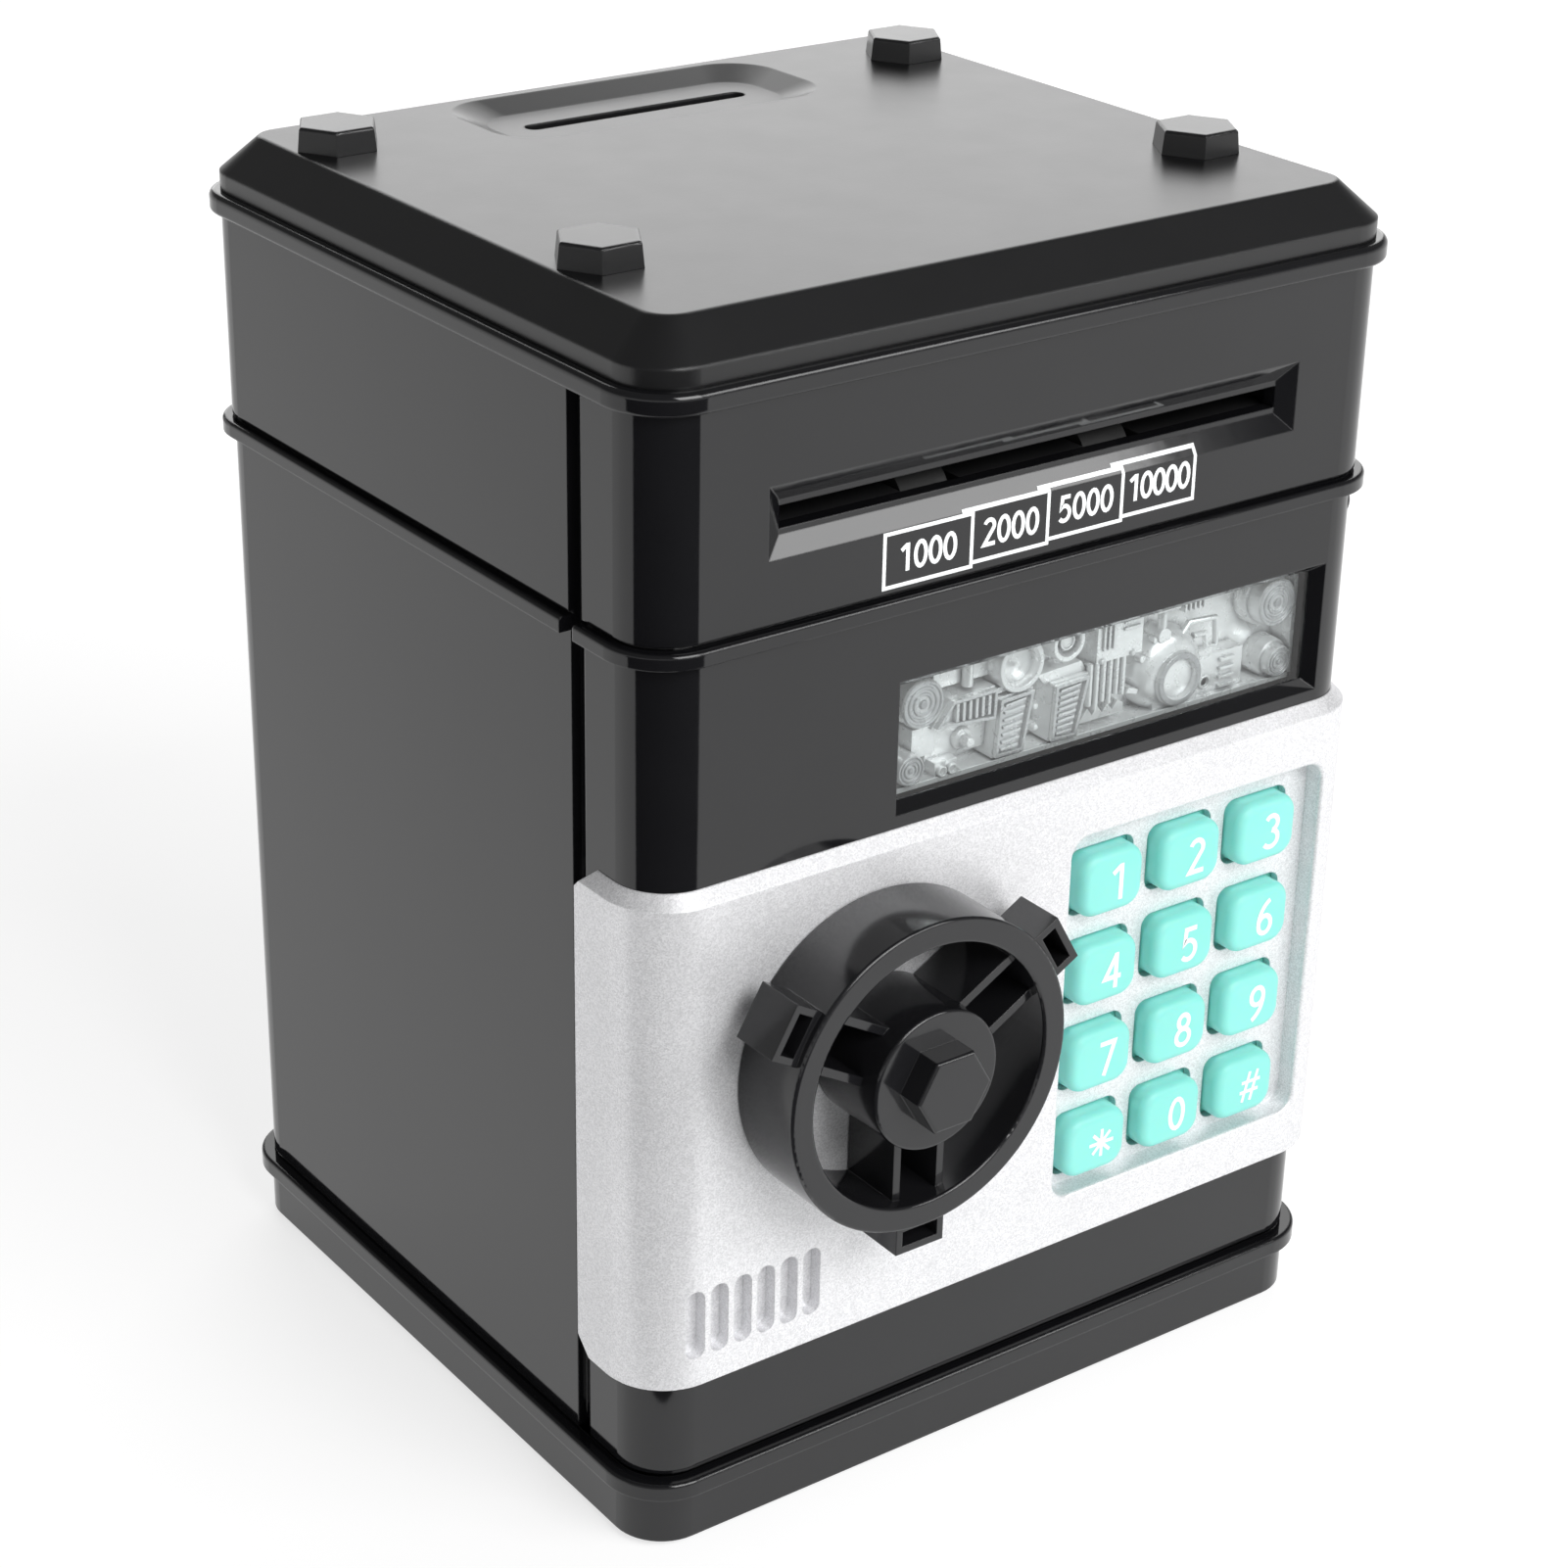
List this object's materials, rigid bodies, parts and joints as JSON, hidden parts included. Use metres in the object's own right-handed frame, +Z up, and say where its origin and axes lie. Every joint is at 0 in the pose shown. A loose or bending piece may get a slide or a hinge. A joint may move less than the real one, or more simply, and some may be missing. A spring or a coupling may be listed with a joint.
{
  "type": "toy atm savings bank",
  "caption": "Cube-like cash-machine savings bank: hinged front door with spoked knob, numeric keypad, note slot with feed rollers, relief window, lid with dished coin slot.",
  "frame": {"origin": "centre of the footprint on the table, on the underside of the feet", "axes": "+Z up, front with the door faces -Y, +X to the right seen from the front"},
  "size_m": [0.1326, 0.1405, 0.1888],
  "materials": {
    "gloss_black": "glossy black ABS",
    "satin_black": "fine satin black ABS",
    "silver_paint": "silver metallic lacquer on ABS",
    "key_mint": "soft satin mint ABS",
    "clear_pane": "clear polystyrene pane",
    "relief_silver": "silver lacquer on clear ABS",
    "inner_black": "moulded black ABS",
    "foot_grey": "light grey foam rubber",
    "zinc": "zinc plated",
    "steel": "bright drawn steel",
    "spring_steel": "nickel plated spring steel",
    "white_nylon": "natural white nylon",
    "brass": "turned brass",
    "rubber_black": "soft rubber",
    "membrane_grey": "silicone switch sheet",
    "board_green": "solder-masked board",
    "board_white": "white lamp board",
    "cell_jacket": "cell jacket",
    "speaker_black": "paper cone and plastic rim",
    "lead_red": "PVC insulated lead"
  },
  "bodies": {
    "case": {"base_tray": "gloss_black", "feet": "foot_grey", "base_screws": "zinc", "body_shell": "gloss_black", "top_frame": "gloss_black", "lid": "satin_black", "lid_screws": "zinc", "lid_bolt_caps": "satin_black", "latch_keeper": "zinc"},
    "door": {"door_shell": "gloss_black", "hinge_pins": "steel", "control_panel": "silver_paint", "inner_cover": "inner_black", "cover_screws": "zinc", "window_lens": "clear_pane", "window_relief": "relief_silver", "window_light": "board_white", "key_membrane": "membrane_grey", "keypad_board": "board_green", "solenoid": "zinc", "feeder_frame": "inner_black", "feeder_housing": "inner_black", "middle_gear_pin": "steel", "feed_motor": "zinc", "battery_box": "inner_black", "battery_cells": "cell_jacket", "cell_contacts": "spring_steel", "main_board": "board_green", "speaker": "speaker_black", "leads": "lead_red"},
    "knob": {"knob": "gloss_black", "knob_shaft": "inner_black", "lock_cam": "white_nylon", "latch_tongue": "zinc", "tongue_screw": "zinc"},
    "solenoid_plunger": {"solenoid_plunger": "steel"},
    "feed_shaft": {"feed_shaft": "steel", "feed_rollers": "rubber_black", "feed_gear": "white_nylon"},
    "pressure_shaft": {"pressure_shaft": "steel", "pressure_rollers": "rubber_black"},
    "middle_gear": {"middle_gear": "white_nylon"},
    "motor_shaft": {"motor_shaft": "steel", "motor_pinion": "brass"},
    "battery_cover": {"battery_cover": "inner_black"},
    "key_1": {"key_1": "key_mint"},
    "key_2": {"key_2": "key_mint"},
    "key_3": {"key_3": "key_mint"},
    "key_4": {"key_4": "key_mint"},
    "key_5": {"key_5": "key_mint"},
    "key_6": {"key_6": "key_mint"},
    "key_7": {"key_7": "key_mint"},
    "key_8": {"key_8": "key_mint"},
    "key_9": {"key_9": "key_mint"},
    "key_star": {"key_star": "key_mint"},
    "key_0": {"key_0": "key_mint"},
    "key_hash": {"key_hash": "key_mint"}
  },
  "joints": [
    {"name": "door_hinge", "type": "hinge", "parent": "case", "child": "door", "pos_m": [0.061, -0.0485, 0.09], "axis": [0, 0, 1], "range_deg": [0, 110]},
    {"name": "knob_turn", "type": "hinge", "parent": "door", "child": "knob", "pos_m": [-0.0269, -0.06, 0.0759], "axis": [0, 1, 0], "range_deg": [0, 90]},
    {"name": "lock_plunger", "type": "slide", "parent": "door", "child": "solenoid_plunger", "axis": [-1, 0, 0], "range_m": [0, 0.003]},
    {"name": "feed_spin", "type": "hinge", "parent": "door", "child": "feed_shaft", "pos_m": [0, -0.0495, 0.15165], "axis": [1, 0, 0], "continuous": true},
    {"name": "pressure_spin", "type": "hinge", "parent": "door", "child": "pressure_shaft", "pos_m": [0, -0.0495, 0.16095], "axis": [1, 0, 0], "continuous": true},
    {"name": "middle_gear_spin", "type": "hinge", "parent": "door", "child": "middle_gear", "pos_m": [0.051, -0.03678, 0.15377], "axis": [1, 0, 0], "continuous": true},
    {"name": "motor_spin", "type": "hinge", "parent": "door", "child": "motor_shaft", "pos_m": [0.045, -0.036, 0.1425], "axis": [1, 0, 0], "continuous": true},
    {"name": "battery_cover_slide", "type": "slide", "parent": "door", "child": "battery_cover", "axis": [-1, 0, 0], "range_m": [0, 0.02]},
    {"name": "key_1_press", "type": "slide", "parent": "door", "child": "key_1", "axis": [0, 1, 0], "range_m": [0, 0.0015], "stiffness_N_per_m": 400, "springref_m": -0.0005},
    {"name": "key_2_press", "type": "slide", "parent": "door", "child": "key_2", "axis": [0, 1, 0], "range_m": [0, 0.0015], "stiffness_N_per_m": 400, "springref_m": -0.0005},
    {"name": "key_3_press", "type": "slide", "parent": "door", "child": "key_3", "axis": [0, 1, 0], "range_m": [0, 0.0015], "stiffness_N_per_m": 400, "springref_m": -0.0005},
    {"name": "key_4_press", "type": "slide", "parent": "door", "child": "key_4", "axis": [0, 1, 0], "range_m": [0, 0.0015], "stiffness_N_per_m": 400, "springref_m": -0.0005},
    {"name": "key_5_press", "type": "slide", "parent": "door", "child": "key_5", "axis": [0, 1, 0], "range_m": [0, 0.0015], "stiffness_N_per_m": 400, "springref_m": -0.0005},
    {"name": "key_6_press", "type": "slide", "parent": "door", "child": "key_6", "axis": [0, 1, 0], "range_m": [0, 0.0015], "stiffness_N_per_m": 400, "springref_m": -0.0005},
    {"name": "key_7_press", "type": "slide", "parent": "door", "child": "key_7", "axis": [0, 1, 0], "range_m": [0, 0.0015], "stiffness_N_per_m": 400, "springref_m": -0.0005},
    {"name": "key_8_press", "type": "slide", "parent": "door", "child": "key_8", "axis": [0, 1, 0], "range_m": [0, 0.0015], "stiffness_N_per_m": 400, "springref_m": -0.0005},
    {"name": "key_9_press", "type": "slide", "parent": "door", "child": "key_9", "axis": [0, 1, 0], "range_m": [0, 0.0015], "stiffness_N_per_m": 400, "springref_m": -0.0005},
    {"name": "key_star_press", "type": "slide", "parent": "door", "child": "key_star", "axis": [0, 1, 0], "range_m": [0, 0.0015], "stiffness_N_per_m": 400, "springref_m": -0.0005},
    {"name": "key_0_press", "type": "slide", "parent": "door", "child": "key_0", "axis": [0, 1, 0], "range_m": [0, 0.0015], "stiffness_N_per_m": 400, "springref_m": -0.0005},
    {"name": "key_hash_press", "type": "slide", "parent": "door", "child": "key_hash", "axis": [0, 1, 0], "range_m": [0, 0.0015], "stiffness_N_per_m": 400, "springref_m": -0.0005}
  ],
  "couplings": [
    {"joint": "pressure_spin", "follows": "feed_spin", "ratio": -1.25},
    {"joint": "middle_gear_spin", "follows": "feed_spin", "ratio": -0.77778},
    {"joint": "motor_spin", "follows": "feed_spin", "ratio": 1.4}
  ]
}
